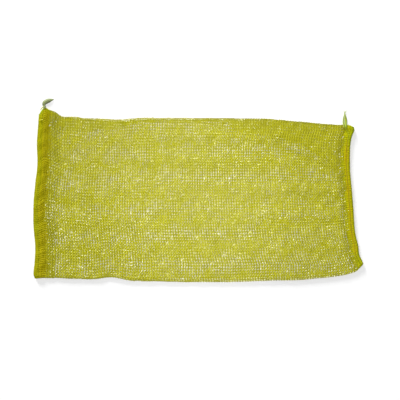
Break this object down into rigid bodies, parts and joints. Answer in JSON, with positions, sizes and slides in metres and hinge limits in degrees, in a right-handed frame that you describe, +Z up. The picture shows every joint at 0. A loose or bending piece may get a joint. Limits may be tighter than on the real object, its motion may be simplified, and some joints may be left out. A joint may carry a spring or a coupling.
{
  "type": "empty mesh produce sack",
  "caption": "Flat empty net sack for produce, hemmed round a drawstring at its mouth and stitched shut at its bottom, lying flat.",
  "frame": {"origin": "on the surface that the sack lies on, under the middle of its box", "axes": "+X along the sack from its mouth to its sewn bottom, +Y across it to the edge that the drawstring and the seam's tail stick out of, +Z up from the surface"},
  "size_m": [0.6198, 0.3446, 0.0076],
  "materials": {
    "net_tape": "slightly glossy yellow polyethylene tape, open leno net",
    "hem_tape": "the same tape, several layers thick and darker ochre",
    "seam_thread": "satin green-yellow sewing thread in a chain stitch",
    "drawstring": "satin grey-green flat tape"
  },
  "bodies": {
    "root": {"sack_net": "net_tape", "mouth_hem": "hem_tape", "bottom_hem": "hem_tape", "seam_thread": "seam_thread", "drawstring": "drawstring", "loose_strand": "net_tape"}
  },
  "joints": []
}
